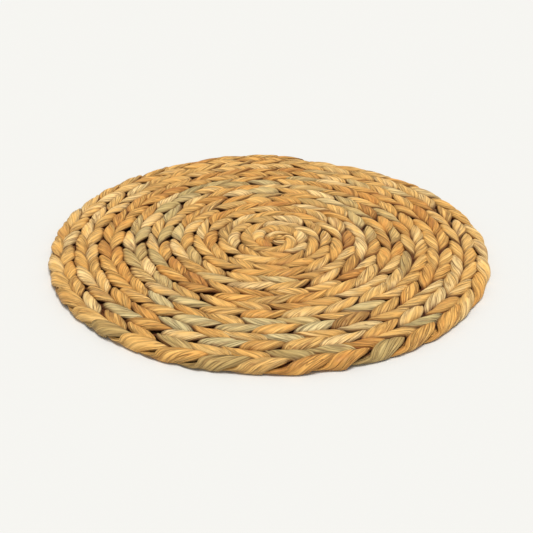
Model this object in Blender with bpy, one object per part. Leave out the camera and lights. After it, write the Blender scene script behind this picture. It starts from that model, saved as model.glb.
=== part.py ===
"""Round straw placemat: one flat three-strand braid of dried water hyacinth stalks,
coiled clockwise from the middle and joined row to row.

Metres, +Z up, the mat lies on z = 0 with its middle over the origin.  The mat is one solid:
an upper and a lower relief that meet along the scalloped rim.  Every folded stalk that shows
is raised in the points of the two faces, with its lean, its crown and the groove beside it.
"""
import math

import bpy
import numpy as np
from mathutils import Vector
from mathutils.geometry import delaunay_2d_cdt

for item in list(bpy.data.objects):
    bpy.data.objects.remove(item)

# size of the coil
PITCH = 0.0196           # width of the braid, from row to row
FIRST = 0.10             # rows already wound at the very start of the braid
TURNS = 9.63             # rows wound from the start to the tail
TAIL_TURNS = 0.34        # last part of the coil, over which the braid gets narrower
TAIL_LOSS = 0.30         # share of the braid's width that is lost there
TIP_TURNS = 0.045        # very end of the coil, over which the tail is drawn in to a tip
TIP_LOSS = 0.42          # share of the braid's width that is lost there
START_ANGLE = 0.156      # where the braid starts, in turns, counted clockwise from +X

# size of the braid
CHEVRON = 0.028          # length of braid from one folded stalk to the next on the same side
LEAN = 0.0265            # how far a stalk runs on while it crosses half the braid
ZIGZAG = 0.0011          # how far a stalk reaches past the middle of the braid
THICK = 0.0100           # full thickness

# heights over the table on the upper face
CROWN = (0.0092, THICK, 0.0086)      # along the crown of a stalk: start, middle, outer end
FURROW = (0.0074, 0.0076, 0.0064)    # along the furrow beside it
PIT = 0.0046                         # where the furrow meets the joint between two rows
SEAM = 0.0060                        # on the joint between two such pits
TAIL_TOP = 0.0080        # at the blunt end of the braid
# heights over the table on the lower face
SOLE = 0.0
UNDER_FURROW = 0.0010
UNDER_SEAM = 0.0022
RIM = 0.0048
FLAT_PATCH = 0.0085      # radius of the pressed patch under the middle
SCALLOP_OUT = 0.0011
SCALLOP_IN = 0.0010
CLOSEST = 0.0021         # points nearer than this are joined
PLAIN_START = 0.060      # length of braid in the tight middle that has no lines asked for
PLAIN_TIP = 0.032        # length of the drawn-in tip, which has no separate stalks


def rows_out(turn):
    """Radius of the joint on the outer side of the braid, after so many turns.

    A plain spiral, one pitch a turn, that flattens over the last part of the coil and is drawn
    in at its tip.
    """
    late = np.clip((turn - (TURNS - TAIL_TURNS)) / TAIL_TURNS, 0.0, 1.0)
    tip = np.clip((turn - (TURNS - TIP_TURNS)) / TIP_TURNS, 0.0, 1.0)
    return PITCH * (np.maximum(turn, -FIRST) + FIRST - TAIL_LOSS * late * late - TIP_LOSS * tip * tip)


def rows_in(turn):
    """Radius of the joint on the inner side: the outer one of a turn before."""
    return rows_out(turn - 1.0)


TURN_TABLE = np.linspace(0.0, TURNS, 6000)
MIDDLE = 0.5 * (rows_out(TURN_TABLE) + rows_in(TURN_TABLE))
STEP = np.hypot(np.diff(MIDDLE), 2.0 * math.pi * 0.5 * (MIDDLE[1:] + MIDDLE[:-1]) * np.diff(TURN_TABLE))
RUN = np.concatenate([[0.0], np.cumsum(STEP)])
BRAID_LENGTH = float(RUN[-1])


def place(run, across):
    """Plan point at a length along the braid; across is -1 on its inner and 1 on its outer joint."""
    turn = float(np.interp(run, RUN, TURN_TABLE))
    outer = float(rows_out(turn))
    inner = float(rows_in(turn))
    radius = 0.5 * (outer + inner) + 0.5 * across * (outer - inner)
    angle = -2.0 * math.pi * (turn + START_ANGLE)
    return radius * math.cos(angle), radius * math.sin(angle)


def joint(turn, more=0.0):
    """Plan point on the joint outside the braid, after so many turns."""
    radius = float(rows_out(turn)) + more
    angle = -2.0 * math.pi * (turn + START_ANGLE)
    return radius * math.cos(angle), radius * math.sin(angle)


class Relief:
    """Plan points with a height each, and the lines that the triangles have to follow."""

    def __init__(self):
        self.plan = []
        self.height = []
        self.lines = []
        self.cells = {}

    def nearest(self, x, y, reach):
        """Number of a point that lies closer than reach, or None."""
        cx = math.floor(x / 0.004)
        cy = math.floor(y / 0.004)
        for ix in (cx - 1, cx, cx + 1):
            for iy in (cy - 1, cy, cy + 1):
                for k in self.cells.get((ix, iy), ()):
                    if math.hypot(self.plan[k][0] - x, self.plan[k][1] - y) < reach:
                        return k
        return None

    def add(self, x, y, z, reach=CLOSEST):
        """Number of a point here; one that is already close by is used again."""
        k = self.nearest(x, y, reach)
        if k is not None:
            return k
        self.plan.append((x, y))
        self.height.append(z)
        k = len(self.plan) - 1
        self.cells.setdefault((math.floor(x / 0.004), math.floor(y / 0.004)), []).append(k)
        return k

    def line(self, numbers):
        """Asks for edges along these points."""
        for a, b in zip(numbers[:-1], numbers[1:]):
            if a != b and a is not None and b is not None:
                self.lines.append((a, b))


def rim_points():
    """The scalloped outer edge: a bulge at each folded stalk, a notch between two, the tail's tip."""
    points = []
    last = float(np.interp(TURNS - 1.0, TURN_TABLE, RUN))
    count = math.ceil((BRAID_LENGTH - last) / (0.5 * CHEVRON))
    for k in range(count + 1):
        run = BRAID_LENGTH - (count - k) * (BRAID_LENGTH - last) / count
        turn = float(np.interp(run, RUN, TURN_TABLE))
        fade = min(1.0, (turn - (TURNS - 1.0)) / 0.03, (BRAID_LENGTH - run) / (2.0 * PLAIN_TIP))
        more = SCALLOP_OUT if k % 2 else -SCALLOP_IN
        points.append(joint(turn, more * fade))
    return points


RIM_LOOP = rim_points()


def start_relief():
    """A relief that holds the rim."""
    relief = Relief()
    loop = []
    for x, y in RIM_LOOP:
        relief.plan.append((x, y))
        relief.height.append(RIM)
        k = len(relief.plan) - 1
        relief.cells.setdefault((math.floor(x / 0.004), math.floor(y / 0.004)), []).append(k)
        loop.append(k)
    return relief, loop


def upper_relief():
    """Upper face: furrow and crown lines of each stalk on both sides of the braid, and the joints."""
    relief, loop = start_relief()
    middle = []
    for j in range(math.floor(BRAID_LENGTH / CHEVRON) + 1):
        for side in (1, -1):
            run0 = (j + (0.0 if side > 0 else 0.5)) * CHEVRON
            furrow = []
            for across, z in zip((-ZIGZAG / (0.5 * PITCH), 0.40, 0.76), FURROW):
                run = run0 + max(across, 0.0) * LEAN
                if run < BRAID_LENGTH - PLAIN_TIP:
                    x, y = place(run, side * across)
                    furrow.append(relief.add(x, y, z))
            if furrow:
                middle.append(furrow[0])
            run = run0 + LEAN
            turn = float(np.interp(run, RUN, TURN_TABLE)) - (0.0 if side > 0 else 1.0)
            if run < BRAID_LENGTH and 0.25 < turn < TURNS - 1.0 - 0.01:
                x, y = joint(turn)
                furrow.append(relief.add(x, y, PIT))
            if run0 > PLAIN_START:
                relief.line(furrow)
            crown = []
            for across, z in zip((0.24, 0.56, 0.88), CROWN):
                run = run0 + 0.5 * CHEVRON + across * LEAN
                if run < BRAID_LENGTH - PLAIN_TIP:
                    x, y = place(run, side * across)
                    crown.append(relief.add(x, y, z))
            if run0 > PLAIN_START:
                relief.line(crown)
    for share in (0.15, 0.45, 0.75):
        x, y = place(BRAID_LENGTH - share * PLAIN_TIP, 0.0)
        relief.add(x, y, TAIL_TOP)
    relief.line(middle[5:])
    turn = 0.3
    while turn < TURNS - 1.0 - 0.01:
        x, y = joint(turn)
        relief.add(x, y, SEAM, 0.0060)
        turn += 0.0060 / (2.0 * math.pi * PITCH * (turn + FIRST))
    return relief, loop


def lower_relief():
    """Lower face: the stalks lean the other way there; their soles lie on the table.

    Under the middle of the mat the tight first turn is pressed to one flat patch.
    """
    relief, loop = start_relief()
    wide = [0.5 * (min(p[i] for p in RIM_LOOP) + max(p[i] for p in RIM_LOOP)) for i in (0, 1)]
    relief.add(wide[0], wide[1], SOLE)
    for k in range(8):
        angle = 0.25 * math.pi * k
        relief.add(wide[0] + FLAT_PATCH * math.cos(angle), wide[1] + FLAT_PATCH * math.sin(angle), SOLE)
    petals = math.floor(BRAID_LENGTH / CHEVRON)
    for j in range(petals + 1):
        for side in (1, -1):
            run0 = (j + (0.25 if side > 0 else 0.75)) * CHEVRON
            sole = []
            for across in (0.26, 0.72):
                run = run0 + 0.5 * CHEVRON - across * LEAN
                if run < 0.02 or run > BRAID_LENGTH - PLAIN_TIP:
                    continue
                x, y = place(run, side * across)
                sole.append(relief.add(x, y, SOLE, 0.0030))
            if run0 > PLAIN_START:
                relief.line(sole)
            if 0.02 < run0 < BRAID_LENGTH - PLAIN_TIP:
                x, y = place(run0, 0.0)
                relief.add(x, y, UNDER_FURROW, 0.0030)
    for share in (0.25, 0.65):
        x, y = place(BRAID_LENGTH - share * PLAIN_TIP, 0.0)
        relief.add(x, y, UNDER_FURROW)
    turn = 0.3
    while turn < TURNS - 1.0 - 0.01:
        x, y = joint(turn)
        relief.add(x, y, UNDER_SEAM, 0.0032)
        turn += 0.0135 / (2.0 * math.pi * PITCH * (turn + FIRST))
    return relief, loop


def triangles(relief, loop):
    """Triangles over the plan points, inside the rim, along the asked lines."""
    flat = [Vector(p) for p in relief.plan]
    result = delaunay_2d_cdt(flat, relief.lines, [loop[::-1]], 1, 1e-7)
    faces = result[2]
    source = result[3]
    return [[source[k][0] for k in face] for face in faces]


def build():
    """One closed mesh out of the two reliefs, which share the rim."""
    upper, loop = upper_relief()
    lower, loop = lower_relief()
    top = triangles(upper, loop)
    under = triangles(lower, loop)
    rim = len(loop)
    points = [(x, y, z) for (x, y), z in zip(upper.plan, upper.height)]
    shift = len(points) - rim
    points += [(x, y, z) for (x, y), z in zip(lower.plan[rim:], lower.height[rim:])]
    faces = [tuple(face) for face in top]
    for face in under:
        faces.append(tuple(k if k < rim else k + shift for k in reversed(face)))
    points = np.array(points)
    low = points.min(axis=0)
    high = points.max(axis=0)
    points[:, 0] -= 0.5 * (low[0] + high[0])
    points[:, 1] -= 0.5 * (low[1] + high[1])
    points[:, 2] -= low[2]
    used = sorted({k for face in faces for k in face})
    number = {k: i for i, k in enumerate(used)}
    faces = [tuple(number[k] for k in face) for face in faces]
    mesh = bpy.data.meshes.new("coiled_braid")
    mesh.from_pydata([tuple(points[k]) for k in used], [], faces)
    mesh.update()
    mesh.validate()
    part = bpy.data.objects.new("coiled_braid", mesh)
    bpy.context.scene.collection.objects.link(part)
    straw = bpy.data.materials.new("straw")
    straw.use_nodes = True
    shader = straw.node_tree.nodes["Principled BSDF"]
    shader.inputs["Base Color"].default_value = (0.560, 0.345, 0.130, 1.0)
    shader.inputs["Roughness"].default_value = 0.72
    mesh.materials.append(straw)
    return part


build()
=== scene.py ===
"""Round straw placemat: the three strands of its coiled braid, fold by fold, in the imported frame.

Metres. The coil is worked out from the same named sizes as the solid it replaces.
"""
import math

import bpy
import numpy as np
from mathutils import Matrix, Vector


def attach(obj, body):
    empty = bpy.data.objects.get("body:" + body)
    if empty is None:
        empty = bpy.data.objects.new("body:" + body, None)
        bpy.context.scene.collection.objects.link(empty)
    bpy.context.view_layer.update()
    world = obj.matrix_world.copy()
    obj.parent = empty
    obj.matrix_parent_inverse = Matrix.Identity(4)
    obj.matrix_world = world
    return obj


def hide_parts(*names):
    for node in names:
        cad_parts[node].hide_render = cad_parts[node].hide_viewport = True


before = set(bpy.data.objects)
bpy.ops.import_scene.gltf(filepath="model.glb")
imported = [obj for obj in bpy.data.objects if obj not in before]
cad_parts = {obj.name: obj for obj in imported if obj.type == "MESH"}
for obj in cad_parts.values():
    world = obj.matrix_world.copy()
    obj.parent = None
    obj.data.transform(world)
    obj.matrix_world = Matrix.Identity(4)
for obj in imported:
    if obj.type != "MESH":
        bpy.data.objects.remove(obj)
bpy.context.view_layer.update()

# the coil
PITCH = 0.0196           # width of the braid, from row to row
FIRST = 0.10             # rows already wound at the very start of the braid
TURNS = 9.63             # rows wound from the start to the tail
TAIL_TURNS = 0.34        # last part of the coil, over which the braid gets narrower
TAIL_LOSS = 0.30         # share of the braid's width that is lost there
TIP_TURNS = 0.045        # very end of the coil, over which the tail is drawn in to a tip
TIP_LOSS = 0.42          # share of the braid's width that is lost there
START_ANGLE = 0.156      # where the braid starts, in turns, counted clockwise from +X

# the braid
STRANDS = 3
CHEVRON = 0.028          # length of braid from one folded stalk to the next on the same side
PERIOD = 3 * CHEVRON     # length of braid in which one strand goes across and back
SWING = 0.0086           # how far a strand's middle line goes to either side
THIRD_HARMONIC = 9.0     # the swing's third harmonic is this many times lower
SWING_SHARE = 0.9        # keeps the swing's height with that harmonic added
LIFT = 0.0028            # how far a strand's middle line goes up and down
FLATNESS = 1.6           # how flat it lies on a face before it changes to the other
EARLY = 0.25             # how early it comes up, in radians of the double turn
MIDDLE_HEIGHT = 0.0050   # of the braid over the table
SOLE = 0.0002            # least height over the table, where folds are pressed flat

# a ring of points round a strand
PLUMP_WIDTH = 0.0115     # where the strand lies open on a face
PLUMP_DEPTH = 0.0034
PINCHED_WIDTH = 0.0072   # where it folds over an edge or dives between the other two
PINCHED_DEPTH = 0.0040
OPENING = 0.8            # power of the double sine by which it opens
UNDER_SPREAD = 0.16      # how much wider it spreads on the lower face, as a share
SHEAR = 2.10             # how far the ring's long way leans along the braid, for its half width
SLIM = 0.30              # how far it still reaches across the braid
TURN_OVER = 2.5          # how sharply the strand turns over at the braid's edge
LEAN = 0.0002            # how far the flank towards the braid's start is raised, and the other lowered
FLAT_POWER = 0.70        # of the cosine, along the ring's long way
DEEP_POWER = 0.45        # of the sine, across it
LEAST_SIZE = 0.30        # of a ring in the drawn-in tail, as a share
RING_STEP = 0.00185      # length of braid from one ring to the next
RING_POINTS = 32
RING = np.linspace(0.0, 2.0 * math.pi, RING_POINTS, endpoint=False)
ROUND_LENGTH = 0.025     # way round a ring in the material's own map

# the tight middle of the mat
TIGHT_LENGTH = 0.070     # length of braid over which its folds open out
TIGHT_EXTRA = 0.085      # length of braid whose folds are taken up there besides
TIGHT_UPRIGHT = 0.4      # share of the rings' lean that is lost there
TIGHT_PHASE_DRIFT = 0.6  # what is added to the unevenness there
TIGHT_BREADTH_DRIFT = 0.14

# unevenness: how much, and its shortest wave along the braid
PHASE_DRIFT = 0.30       # radians
PHASE_WAVE = 0.08
ACROSS_DRIFT = 0.0007
ACROSS_WAVE = 0.04
HEIGHT_DRIFT = 0.0004
BREADTH_DRIFT = 0.16     # share
TILT = 0.0012            # how far one flank of a fold is raised at most, and the other lowered
SHORT_WAVE = 0.03        # for height, breadth, tilt and the height of creases

# creases along a strand: half waves round a ring, and their height
CREASES = ((2, 0.00060), (3, 0.00085), (5, 0.00090), (8, 0.00055))
CREASE_DRIFT = 0.5       # radians of its cosine by which a crease wanders round the ring
CREASE_WAVE = 0.035
CREASE_MEAN = 0.7        # share of the height on average
CREASE_CHANGE = 0.5      # share of the height that comes and goes
MEAN_RIDGE = 2.0 / math.pi

# what the material gets from the shape
STALK_FOLDS = 5          # folds that one stalk lasts at most
STALK_TONE = (3.0, 2.4)  # the two parameters of the tones' beta distribution
GREEN_STALKS = 0.15      # share of the stalks that are greenish
GREENISH = (0.35, 0.95)  # how green these are
HARDLY_GREEN = (0.0, 0.20)
FOLD_TONE = 0.13         # how much one fold of a stalk differs from another
FOLD_GREEN = 0.07
GAP_SHADE_DEPTH = 0.0039       # distance from the braid's middle height within which the low parts get painted shade, brown, as in the shaded gaps between folds
GAP_SHADE_FADE = 0.0030
GAP_SHADE_POWER = 1.4
GAP_SHADE_SHARE = 0.9
EDGE_SHADE_FROM = 0.86         # cosine round the ring from which a strand's edge gets painted shade, brown, as dark outlines where folds overlap
EDGE_SHADE_FADE = 0.13
RIM_FROM = 0.2           # in pitches: from here out the rim's outer side gets no painted shade in its gaps or along its edges
RIM_FADE = 0.15

# screen colours of the straw and of its painted shade, 0 to 255
GOLDEN = (
    (0.00, (196, 130, 60)), (0.25, (226, 161, 78)), (0.50, (240, 182, 96)),
    (0.75, (247, 195, 114)), (1.00, (252, 212, 144)),
)
GREYISH = ((0.0, (170, 145, 88)), (0.5, (199, 176, 116)), (1.0, (222, 202, 146)))
LINE_BROWN = (124, 64, 20)
SPECK_BROWN = (120, 62, 20)
# painted shade: the brown of the dark outlines along the strands' edges
EDGE_SHADE_BROWN = (112, 48, 8)
# painted shade: the brown mixed into the low parts of the strands, where the gaps between folds are shaded
GAP_SHADE_BROWN = (96, 38, 6)

# noise in the straw: waves to a metre round a ring and along the strand
FIBRES = (1500.0, 40.0, 1.0)
VEINS = (480.0, 14.0, 1.0)
WRINKLES = (300.0, 8.0, 1.0)
PATCHES = (130.0, 45.0, 1.0)
SPECKS = (900.0, 500.0, 1.0)

# the studio
FLOOR_REACH = 6.0
FLOOR_COLOUR = (0.712, 0.716, 0.710, 1.0)
SKY_COLOUR = (1.0, 1.0, 0.99, 1.0)
SKY_STRENGTH = 0.475
SUN_COLOUR = (1.0, 0.98, 0.94)
SUN_STRENGTH = 2.66
SUN_SPREAD = 22.0        # degrees
SUN_WAY = (-0.12, 0.22, -1.0)

# the photograph's frame
FRAME_PIXELS = 533
FOCAL_PIXELS = 859.6
SENSOR = 36.0
MAT_RADIUS = 0.18
EYE = (-0.0935, -3.561, 1.863)       # in mat radii, from the middle of its upper face
EYE_BASE = 0.009
LOOK = (0.02075, 0.86914, -0.49414)


def rows_out(turn):
    """Radius of the joint on the braid's outer side.

    A plain spiral, one pitch a turn, that flattens over its last part and is drawn in at its tip.
    """
    late = np.clip((turn - (TURNS - TAIL_TURNS)) / TAIL_TURNS, 0.0, 1.0)
    tip = np.clip((turn - (TURNS - TIP_TURNS)) / TIP_TURNS, 0.0, 1.0)
    return PITCH * (np.maximum(turn, -FIRST) + FIRST - TAIL_LOSS * late * late - TIP_LOSS * tip * tip)


def coil_table(count=6000):
    """Turn, middle radius, width and length of braid, at even steps of the turn."""
    turn = np.linspace(0.0, TURNS, count)
    outer = rows_out(turn)
    inner = rows_out(turn - 1.0)
    middle = 0.5 * (outer + inner)
    mean = 0.5 * (middle[1:] + middle[:-1])
    step = np.hypot(np.diff(middle), 2.0 * math.pi * mean * np.diff(turn))
    run = np.concatenate([[0.0], np.cumsum(step)])
    return turn, middle, outer - inner, run


TURN, MIDDLE, WIDTH, RUN = coil_table()
BRAID_LENGTH = float(RUN[-1])


def coil_shift(count=2000):
    """From the coil's own middle to the middle of the mat's box, which is the frame's origin."""
    turn = np.linspace(TURNS - 1.0, TURNS, count)
    angle = -2.0 * math.pi * (turn + START_ANGLE)
    x = rows_out(turn) * np.cos(angle)
    y = rows_out(turn) * np.sin(angle)
    return -0.5 * (x.min() + x.max()), -0.5 * (y.min() + y.max())


SHIFT = coil_shift()


def drift(run, length, rng, count=3):
    """Smooth unevenness from about -1 to 1: a sum of a few sines, none shorter than a length."""
    total = np.zeros_like(run)
    for _ in range(count):
        wave = length * rng.uniform(1.0, 2.6)
        total += np.sin(2.0 * math.pi * run / wave + rng.uniform(0.0, 2.0 * math.pi))
    return total / count


def middle_line(number, run, tight, rng):
    """Phase, double sine, place across and height of a strand's middle line along the braid.

    It swings from side to side as a sine with a little of its third harmonic, and lies on the
    upper or the lower face by a hyperbolic tangent of the double sine.
    """
    taken_up = TIGHT_EXTRA * (1.0 - tight)
    phase = 2.0 * math.pi * (run + taken_up) / PERIOD + 2.0 * math.pi * number / STRANDS
    phase += (PHASE_DRIFT + TIGHT_PHASE_DRIFT * tight) * drift(run, PHASE_WAVE, rng)
    double = np.sin(2.0 * phase + EARLY)
    across = SWING * SWING_SHARE * (np.sin(phase) - np.sin(3.0 * phase) / THIRD_HARMONIC)
    across += ACROSS_DRIFT * drift(run, ACROSS_WAVE, rng)
    height = LIFT * np.tanh(FLATNESS * double) / math.tanh(FLATNESS)
    height += HEIGHT_DRIFT * drift(run, SHORT_WAVE, rng)
    return phase, double, across, height


def ring_shapes(run, tight, phase, double, rng):
    """Way along, way across and lean of every point of every ring.

    A ring is a flattened loop, a power of the cosine wide and a power of the sine deep. Its
    creases are absolute values of cosines round the ring that wander a little along the strand.
    """
    open_share = np.abs(np.sin(2.0 * phase)) ** OPENING
    breadth = 1.0 + (BREADTH_DRIFT + TIGHT_BREADTH_DRIFT * tight) * drift(run, SHORT_WAVE, rng)
    breadth += UNDER_SPREAD * np.clip(-double, 0.0, 1.0)
    half_width = 0.5 * (PINCHED_WIDTH + (PLUMP_WIDTH - PINCHED_WIDTH) * open_share) * breadth
    half_depth = 0.5 * (PINCHED_DEPTH + (PLUMP_DEPTH - PINCHED_DEPTH) * open_share)
    flat = np.sign(np.cos(RING)) * np.abs(np.cos(RING)) ** FLAT_POWER
    deep = np.sign(np.sin(RING)) * np.abs(np.sin(RING)) ** DEEP_POWER
    crease = np.zeros((len(run), RING_POINTS))
    for waves, high in CREASES:
        moved = CREASE_DRIFT * drift(run, CREASE_WAVE, rng) + rng.uniform(0.0, 2.0 * math.pi)
        strong = high * (CREASE_MEAN + CREASE_CHANGE * drift(run, SHORT_WAVE, rng))
        ridges = np.abs(np.cos(0.5 * waves * RING[None, :] + moved[:, None]))
        crease += strong[:, None] * (ridges - MEAN_RIDGE)
    wide = half_width[:, None] * flat[None, :]
    thick = half_depth[:, None] * deep[None, :] + crease * np.sin(RING)[None, :]
    thick += TILT * drift(run, SHORT_WAVE, rng)[:, None] * flat[None, :]
    lean = LEAN * open_share[:, None] * flat[None, :]
    return wide, thick, lean


def strand(number, rng):
    """One strand of the braid as slanted rings, bent round the coil, and where it shows on the rim.

    A ring's long way lies mostly along the braid, so that the strand turns over at the edge along
    a line parallel to the edge, as a folded ribbon does, and each turn exchanges its faces. Its
    cosine goes from one face to the other by a hyperbolic tangent of the phase's cosine.
    """
    run = np.arange(0.0, BRAID_LENGTH, RING_STEP)
    tight = np.exp(-run / TIGHT_LENGTH)
    phase, double, across, height = middle_line(number, run, tight, rng)
    wide, thick, lean = ring_shapes(run, tight, phase, double, rng)
    turned = np.arccos(np.clip(np.tanh(TURN_OVER * np.cos(phase)) / math.tanh(TURN_OVER), -1.0, 1.0))
    over = np.cos(turned)[:, None]
    outwards = np.sin(turned)[:, None]
    place = run[:, None] - SHEAR * (1.0 - TIGHT_UPRIGHT * tight[:, None]) * wide
    place = np.clip(place, 0.0, BRAID_LENGTH)
    size = np.clip(np.interp(place, RUN, WIDTH) / PITCH, LEAST_SIZE, 1.0)
    side = size * (across[:, None] + SLIM * wide * over + thick * outwards)
    rise = height[:, None] - SLIM * wide * outwards + thick * over + lean
    radius = np.interp(place, RUN, MIDDLE) + side
    angle = -2.0 * math.pi * (np.interp(place, RUN, TURN) + START_ANGLE)
    rings = np.stack([
        radius * np.cos(angle) + SHIFT[0], radius * np.sin(angle) + SHIFT[1],
        np.maximum(MIDDLE_HEIGHT + np.sqrt(size) * rise, SOLE),
    ], -1)
    rim_start = float(np.interp(TURNS - 1.0, TURN, RUN))
    last_row = np.clip((place - rim_start) / CHEVRON, 0.0, 1.0)
    outer_side = np.clip((side - RIM_FROM * PITCH) / (RIM_FADE * PITCH), 0.0, 1.0)
    return phase, rings, last_row * outer_side


def tube_mesh(name, rings, arc, round_length):
    """A closed tube through rings of points, with a fan at either end and a lengthwise UV map in metres."""
    count, points = rings.shape[:2]
    corners = rings.reshape(-1, 3)
    first = rings[0].mean(axis=0)
    last = rings[-1].mean(axis=0)
    vertices = np.concatenate([corners, [first], [last]])
    i = np.arange(count - 1)[:, None] * points
    j = np.arange(points)[None, :]
    after = (j + 1) % points
    quads = np.stack([i + j, i + after, i + points + after, i + points + j], -1).reshape(-1, 4)
    k = np.arange(points)
    start = np.stack([(k + 1) % points, k, np.full(points, count * points)], 1)
    top = (count - 1) * points
    end = np.stack([top + k, top + (k + 1) % points, np.full(points, count * points + 1)], 1)
    mesh = bpy.data.meshes.new(name)
    faces = quads.tolist() + start.tolist() + end.tolist()
    mesh.from_pydata(vertices.tolist(), [], faces)
    u_left = np.broadcast_to(j / points * round_length, (count - 1, points))
    u_right = np.broadcast_to((j + 1) / points * round_length, (count - 1, points))
    v_low = np.broadcast_to(arc[:-1, None], (count - 1, points))
    v_high = np.broadcast_to(arc[1:, None], (count - 1, points))
    uv = np.stack([
        np.stack([u_left, v_low], -1), np.stack([u_right, v_low], -1),
        np.stack([u_right, v_high], -1), np.stack([u_left, v_high], -1),
    ], 2).reshape(-1, 2)
    cap = np.zeros((points * 3, 2))
    cap_end = cap + [0.0, arc[-1]]
    layer = mesh.uv_layers.new(name="lengthwise")
    layer.data.foreach_set("uv", np.concatenate([uv, cap, cap_end]).astype(np.float32).ravel())
    mesh.polygons.foreach_set("use_smooth", np.ones(len(faces), dtype=bool))
    mesh.update()
    return mesh


def stalk_tones(phase, rng):
    """Tone and greenness at every ring: stalks of a few folds each, a little different fold by fold."""
    fold = np.floor((phase + 0.5) / math.pi).astype(int)
    fold -= fold.min()
    folds = int(fold.max()) + 1
    tone = np.zeros(folds)
    green = np.zeros(folds)
    k = 0
    while k < folds:
        length = int(rng.integers(1, STALK_FOLDS + 1))
        tone[k:k + length] = rng.beta(*STALK_TONE)
        how_green = GREENISH if rng.random() < GREEN_STALKS else HARDLY_GREEN
        green[k:k + length] = rng.uniform(*how_green)
        k += length
    tone = np.clip(tone + rng.normal(0.0, FOLD_TONE, folds), 0.0, 1.0)
    green = np.clip(green + rng.normal(0.0, FOLD_GREEN, folds), 0.0, 1.0)
    return tone[fold], green[fold]


def put_attribute(mesh, name, values):
    """A number at every ring point, and the mean of the end rings at the two caps' middles."""
    ends = [values[0].mean(), values[-1].mean()]
    attribute = mesh.attributes.new(name, "FLOAT", "POINT")
    attribute.data.foreach_set("value", np.concatenate([values.ravel(), ends]).astype(np.float32))


class Nodes:
    """Short ways to add and join shader nodes."""

    def __init__(self, material):
        material.use_nodes = True
        self.tree = material.node_tree
        self.shader = self.tree.nodes["Principled BSDF"]

    def add(self, kind, values=(), **settings):
        node = self.tree.nodes.new(kind)
        for name, value in settings.items():
            setattr(node, name, value)
        for socket, value in dict(values).items():
            if isinstance(value, bpy.types.NodeSocket):
                self.tree.links.new(value, node.inputs[socket])
            else:
                node.inputs[socket].default_value = value
        return node

    def math(self, operation, a, b=0.0, c=0.0):
        return self.add("ShaderNodeMath", {0: a, 1: b, 2: c}, operation=operation).outputs[0]

    def attribute(self, name):
        return self.add("ShaderNodeAttribute", attribute_name=name).outputs["Fac"]

    def noise(self, vector, detail, rough, stretch, move):
        mapping = self.add("ShaderNodeMapping", {"Vector": vector, "Scale": stretch, "Location": move})
        return self.add("ShaderNodeTexNoise", {
            "Vector": mapping.outputs[0], "Scale": 1.0, "Detail": detail, "Roughness": rough,
        }).outputs["Fac"]

    def span(self, value, low, high, to_low=0.0, to_high=1.0):
        return self.add("ShaderNodeMapRange", {
            "Value": value, "From Min": low, "From Max": high, "To Min": to_low, "To Max": to_high,
        }).outputs[0]

    def lines(self, noise, level, width):
        """Thin lines where a noise passes a level."""
        away = self.math("ABSOLUTE", self.math("SUBTRACT", noise, level))
        return self.span(away, 0.0, width, 1.0, 0.0)

    def ramp(self, value, stops):
        node = self.add("ShaderNodeValToRGB", {"Fac": value})
        colours = node.color_ramp.elements
        while len(colours) < len(stops):
            colours.new(0.5)
        for element, (place, colour) in zip(colours, stops):
            element.position = place
            element.color = linear(colour)
        return node.outputs["Color"]

    def mix(self, share, a, b, blend="MIX"):
        node = self.add("ShaderNodeMix", data_type="RGBA", blend_type=blend)
        for socket, value in ((0, share), (6, a), (7, b)):
            if isinstance(value, bpy.types.NodeSocket):
                self.tree.links.new(value, node.inputs[socket])
            else:
                node.inputs[socket].default_value = value
        return node.outputs[2]


def linear(colour):
    """A screen colour, 0 to 255, as the linear light that Blender works in."""
    share = np.array(colour) / 255.0
    low = share / 12.92
    high = ((share + 0.055) / 1.055) ** 2.4
    return (*(float(v) for v in np.where(share <= 0.04045, low, high)), 1.0)


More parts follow.
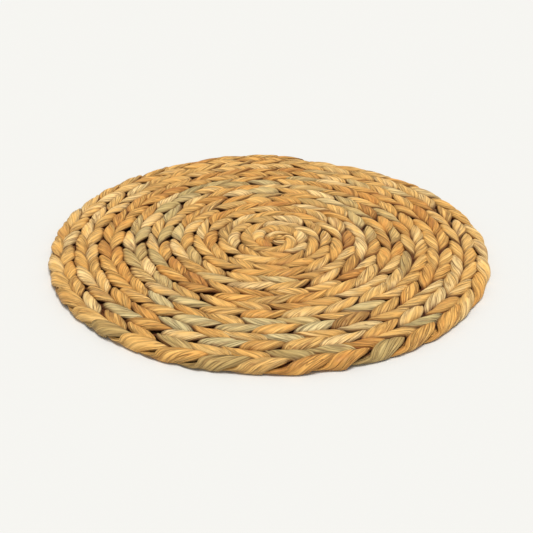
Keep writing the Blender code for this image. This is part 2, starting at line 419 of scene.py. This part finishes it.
def straw_material(number):
    """Dried flattened stalk: long fibres, tone from stalk to stalk, specks, and painted shade, brown, along
    the strands' edges and in the gaps.
    """
    material = bpy.data.materials.new(f"straw_{number}")
    n = Nodes(material)
    place = n.add("ShaderNodeUVMap", uv_map="lengthwise").outputs[0]
    fibres = n.noise(place, 5.0, 0.62, FIBRES, (7.3 * number, 1.7, 0.0))
    veins = n.noise(place, 2.0, 0.5, VEINS, (3.1 * number, 5.2, 0.0))
    wrinkles = n.noise(place, 2.0, 0.5, WRINKLES, (5.9 * number, 2.6, 0.0))
    patches = n.noise(place, 3.0, 0.55, PATCHES, (1.9 * number, 8.8, 0.0))
    specks = n.noise(place, 2.0, 0.5, SPECKS, (2.7 * number, 3.4, 0.0))
    shade = n.math("MULTIPLY_ADD", n.math("SUBTRACT", patches, 0.5), 1.2, n.attribute("tone"))
    shade = n.math("MULTIPLY_ADD", n.math("SUBTRACT", veins, 0.5), 0.9, shade)
    colour = n.mix(n.attribute("green"), n.ramp(shade, GOLDEN), n.ramp(shade, GREYISH))
    streak = n.span(fibres, 0.38, 0.60, 0.62, 1.08)
    grey_streak = n.add("ShaderNodeCombineColor", {0: streak, 1: streak, 2: streak}).outputs[0]
    colour = n.mix(1.0, colour, grey_streak, "MULTIPLY")
    vein_lines = n.math("MAXIMUM", n.lines(veins, 0.54, 0.022), n.lines(veins, 0.45, 0.018))
    lines = n.math("MAXIMUM", n.lines(wrinkles, 0.5, 0.022), n.math("MULTIPLY", vein_lines, 0.8))
    lines = n.math("MULTIPLY", lines, n.span(patches, 0.36, 0.54))
    colour = n.mix(n.math("MULTIPLY", lines, 0.66), colour, linear(LINE_BROWN))
    colour = n.mix(n.span(specks, 0.70, 0.78, 0.0, 0.55), colour, linear(SPECK_BROWN))
    # painted shade: a dark brown outline along every strand's edges, where folds overlap and shade falls
    colour = n.mix(n.math("MULTIPLY", n.attribute("edge"), 0.60), colour, linear(EDGE_SHADE_BROWN))
    # painted shade: dark red-brown in the low parts of the strands, where the gaps between folds are shaded
    colour = n.mix(n.attribute("gap_shade"), colour, linear(GAP_SHADE_BROWN))
    n.tree.links.new(colour, n.shader.inputs["Base Color"])
    rough = n.span(veins, 0.3, 0.7, 0.50, 0.72)
    n.tree.links.new(rough, n.shader.inputs["Roughness"])
    n.shader.inputs["Specular IOR Level"].default_value = 0.35
    relief = n.math("MULTIPLY_ADD", veins, 3.0, fibres)
    relief = n.math("MULTIPLY_ADD", lines, -0.8, relief)
    bump = n.add("ShaderNodeBump", {"Height": relief, "Strength": 1.0, "Distance": 0.0009})
    n.tree.links.new(bump.outputs[0], n.shader.inputs["Normal"])
    return material


def build_strand(number):
    """One strand, with its tones, on the body and in place of the plain solid."""
    rng = np.random.default_rng(41 + number)
    phase, rings, shown = strand(number, rng)
    middle = rings[:, [0, RING_POINTS // 2]].mean(axis=1)
    arc = np.concatenate([[0.0], np.cumsum(np.linalg.norm(np.diff(middle, axis=0), axis=1))])
    name = f"braid_strand_{number + 1}"
    mesh = tube_mesh(name, rings, arc, ROUND_LENGTH)
    tone, green = stalk_tones(phase, rng)
    all_round = np.ones(RING_POINTS)
    put_attribute(mesh, "tone", tone[:, None] * all_round)
    put_attribute(mesh, "green", green[:, None] * all_round)
    # painted shade: the nearer a point lies to the braid's middle height, the more brown is mixed in, as
    # shade in the gaps between folds; none on the rim's outer side
    depth = np.abs(rings[..., 2] - MIDDLE_HEIGHT)
    gap_shade = np.clip((GAP_SHADE_DEPTH - depth) / GAP_SHADE_FADE, 0.0, 1.0) ** GAP_SHADE_POWER
    put_attribute(mesh, "gap_shade", GAP_SHADE_SHARE * (gap_shade * (1.0 - shown)))
    # painted shade: an outline towards the edges of every ring, none on the rim's outer side
    edge = np.clip((np.abs(np.cos(RING)) - EDGE_SHADE_FROM) / EDGE_SHADE_FADE, 0.0, 1.0)
    put_attribute(mesh, "edge", edge * (1.0 - shown))
    mesh.materials.append(straw_material(number))
    piece = bpy.data.objects.new(name, mesh)
    bpy.context.scene.collection.objects.link(piece)
    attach(piece, "root")
    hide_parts("coiled_braid")


def build_floor():
    """A wide pale floor."""
    far = FLOOR_REACH
    mesh = bpy.data.meshes.new("floor")
    corners = [(-far, -far, 0.0), (far, -far, 0.0), (far, far, 0.0), (-far, far, 0.0)]
    mesh.from_pydata(corners, [], [(0, 1, 2, 3)])
    floor = bpy.data.objects.new("floor", mesh)
    bpy.context.scene.collection.objects.link(floor)
    paper = bpy.data.materials.new("floor")
    n = Nodes(paper)
    n.shader.inputs["Base Color"].default_value = FLOOR_COLOUR
    n.shader.inputs["Roughness"].default_value = 0.95
    n.shader.inputs["Specular IOR Level"].default_value = 0.0
    mesh.materials.append(paper)


def build_light():
    """Even light from all round, and one broad soft sun from high up, a little in front of the mat."""
    world = bpy.data.worlds.new("studio")
    bpy.context.scene.world = world
    world.use_nodes = True
    back = world.node_tree.nodes["Background"]
    back.inputs["Color"].default_value = SKY_COLOUR
    back.inputs["Strength"].default_value = SKY_STRENGTH
    sun = bpy.data.lights.new("window", "SUN")
    sun.energy = SUN_STRENGTH
    sun.angle = math.radians(SUN_SPREAD)
    sun.color = SUN_COLOUR
    lamp = bpy.data.objects.new("window", sun)
    bpy.context.scene.collection.objects.link(lamp)
    lamp.rotation_euler = Vector(SUN_WAY).to_track_quat("-Z", "Y").to_euler()


def build_camera():
    """The photograph's eye: its place and lens come from the mat's outline in the picture."""
    data = bpy.data.cameras.new("camera")
    data.sensor_width = SENSOR
    data.lens = SENSOR * FOCAL_PIXELS / FRAME_PIXELS
    camera = bpy.data.objects.new("camera", data)
    bpy.context.scene.collection.objects.link(camera)
    camera.location = Vector(EYE) * MAT_RADIUS + Vector((0.0, 0.0, EYE_BASE))
    camera.rotation_euler = Vector(LOOK).to_track_quat("-Z", "Y").to_euler()
    bpy.context.scene.camera = camera


build_camera()
for strand_number in range(STRANDS):
    build_strand(strand_number)
build_floor()
build_light()
bpy.context.scene.view_settings.view_transform = "Standard"
